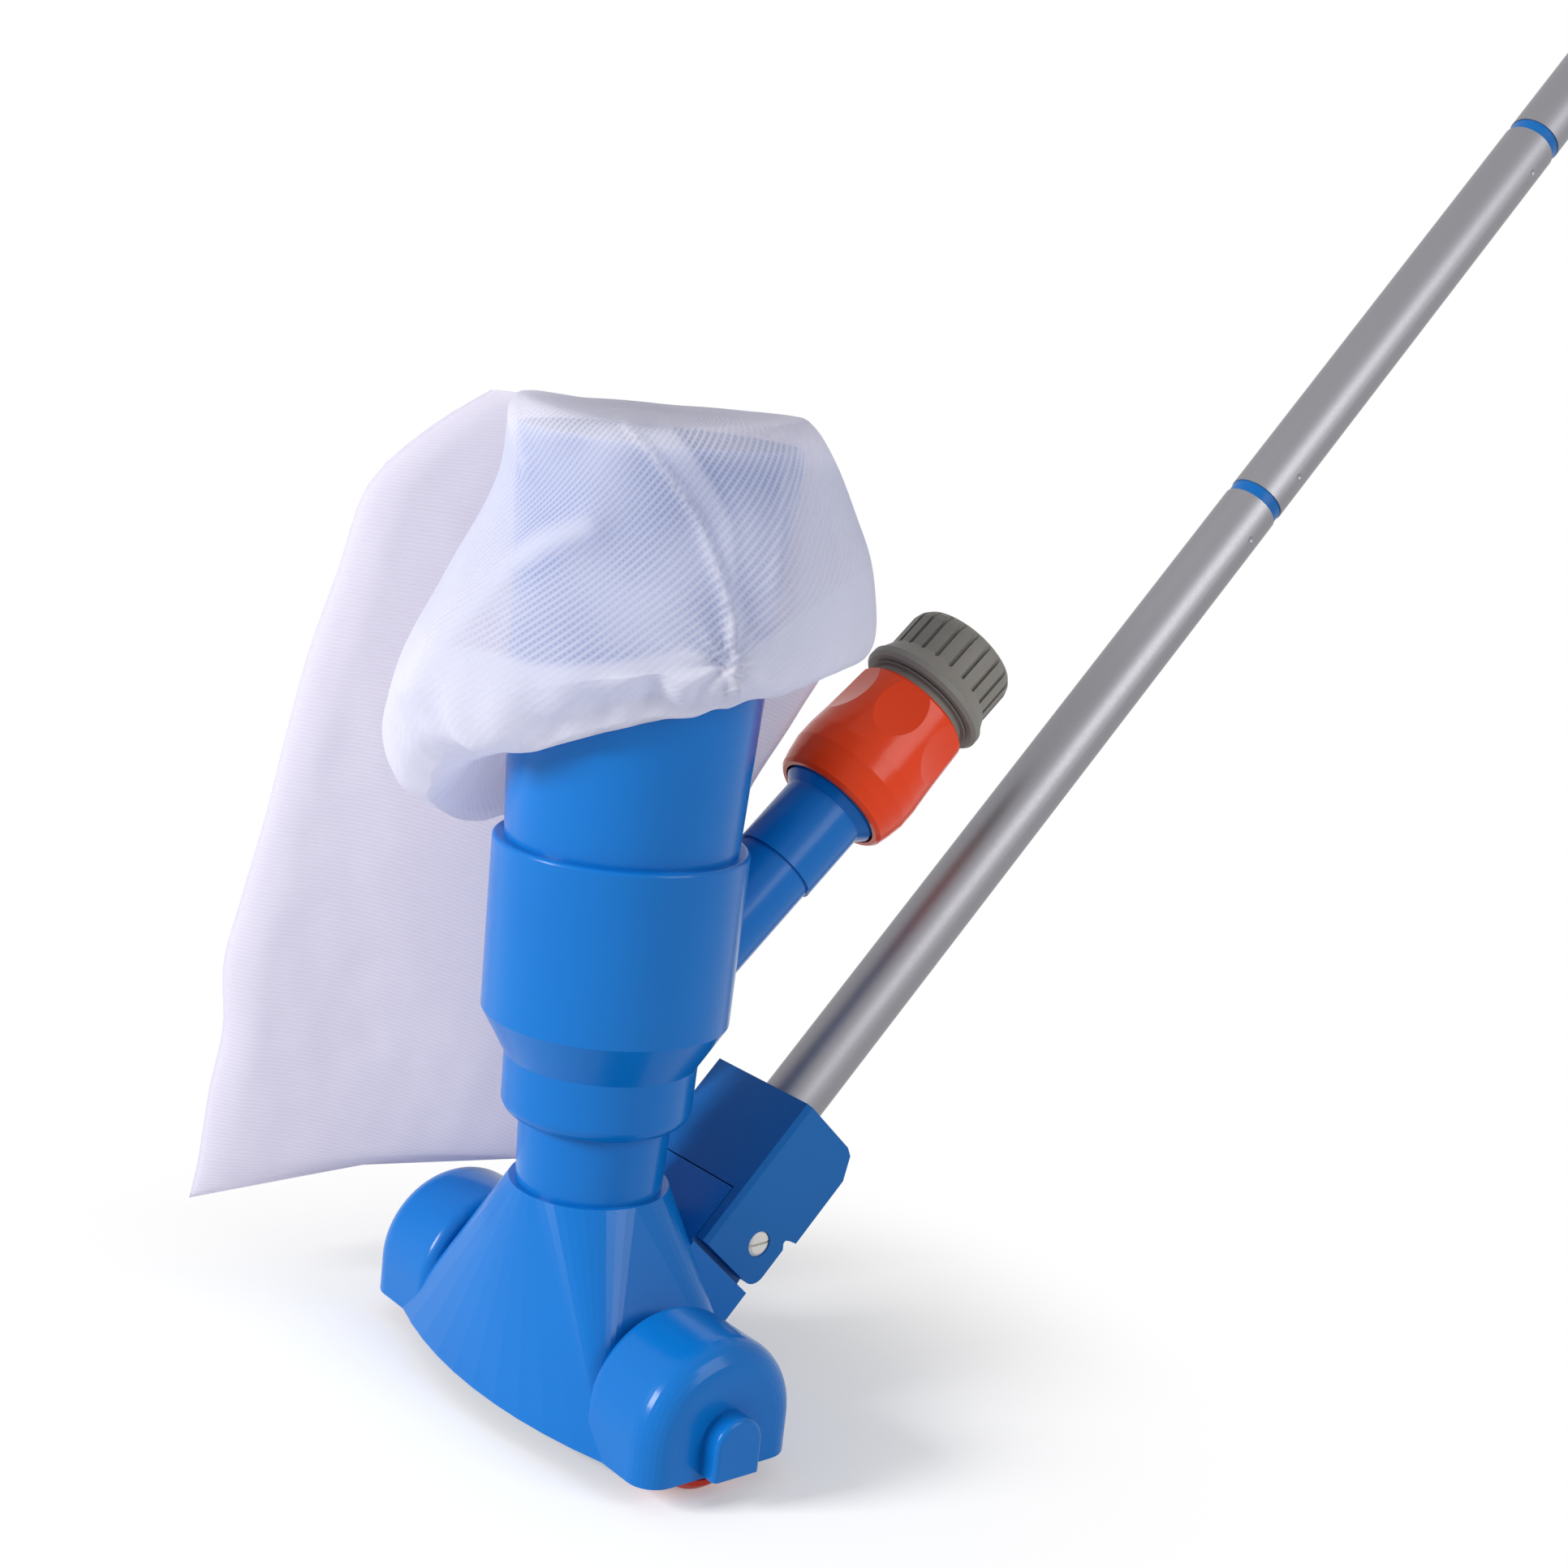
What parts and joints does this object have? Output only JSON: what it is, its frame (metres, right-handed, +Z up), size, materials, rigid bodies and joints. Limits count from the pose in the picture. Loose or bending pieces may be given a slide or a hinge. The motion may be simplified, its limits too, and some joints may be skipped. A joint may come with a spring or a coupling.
{
  "type": "manual vacuum head",
  "caption": "Hose-fed suction head on wheels with a jet body, mesh leaf bag, hose quick connector and tilting sectional pole.",
  "frame": {"origin": "centre of the suction mouth's rim plane, on the body's axis", "axes": "+Z up the body, +X to the rear where the pole and the hose branch are, Y along the head from wheel to wheel"},
  "size_m": [0.5698, 0.1926, 0.5348],
  "materials": {
    "gloss_blue": "glossy injection-moulded ABS",
    "red_wheel": "moulded plastic",
    "pin_steel": "stainless steel, turned",
    "seal_rubber": "nitrile rubber",
    "warm_grey": "matt moulded plastic",
    "claw_white": "unfilled acetal",
    "orange_sleeve": "glossy moulded plastic",
    "dark_blue": "satin-gloss moulded plastic",
    "pole_aluminium": "satin anodised drawn tube",
    "bag_mesh": "fine white polyester netting",
    "elastic_cord": "white covered elastic"
  },
  "bodies": {
    "head": {"head_shell": "gloss_blue", "axle_left": "pin_steel", "axle_right": "pin_steel", "suction_tube": "gloss_blue", "neck_o_ring": "seal_rubber", "jet_body": "gloss_blue", "jet_ring": "warm_grey", "outlet_tube": "gloss_blue", "outlet_o_ring": "seal_rubber", "hose_adapter": "gloss_blue", "adapter_washer": "seal_rubber", "nipple_o_ring": "seal_rubber", "pivot_pin": "pin_steel", "pin_clip": "pin_steel", "bag_hood": "bag_mesh", "bag_sack": "bag_mesh", "bag_elastic": "elastic_cord"},
    "left_wheel": {"wheel_left": "red_wheel"},
    "right_wheel": {"wheel_right": "red_wheel"},
    "pole": {"pole_socket": "dark_blue", "pole_tube_1": "pole_aluminium", "pole_tube_2": "pole_aluminium", "pole_tube_3": "pole_aluminium", "pole_insert_1": "dark_blue", "pole_insert_2": "dark_blue", "pole_insert_3": "dark_blue", "pole_plug_1": "dark_blue", "pole_plug_2": "dark_blue", "pole_end_cap": "dark_blue"},
    "connector": {"connector_core": "warm_grey", "claw_ring": "claw_white", "hose_collet": "warm_grey"},
    "sleeve": {"release_sleeve": "orange_sleeve"},
    "nut": {"hose_nut": "warm_grey"}
  },
  "joints": [
    {"name": "left_wheel_spin", "type": "hinge", "parent": "head", "child": "left_wheel", "pos_m": [0, -0.06, 0.0105], "axis": [0, 1, 0], "continuous": true},
    {"name": "right_wheel_spin", "type": "hinge", "parent": "head", "child": "right_wheel", "pos_m": [0, 0.06, 0.0105], "axis": [0, 1, 0], "continuous": true},
    {"name": "pole_tilt", "type": "hinge", "parent": "head", "child": "pole", "pos_m": [0.04726, 0, 0.03709], "axis": [0, 1, 0], "range_deg": [0, 40]},
    {"name": "connector_swivel", "type": "hinge", "parent": "head", "child": "connector", "pos_m": [0.07979, 0, 0.16772], "axis": [0.7254, 0, 0.6884], "continuous": true},
    {"name": "sleeve_slide", "type": "slide", "parent": "connector", "child": "sleeve", "axis": [0.7254, 0, 0.6884], "range_m": [0, 0.0024], "stiffness_N_per_m": 600, "springref_m": -0.003},
    {"name": "hose_nut_turn", "type": "hinge", "parent": "connector", "child": "nut", "pos_m": [0.10881, 0, 0.19525], "axis": [0.7254, 0, 0.6884], "continuous": true}
  ]
}
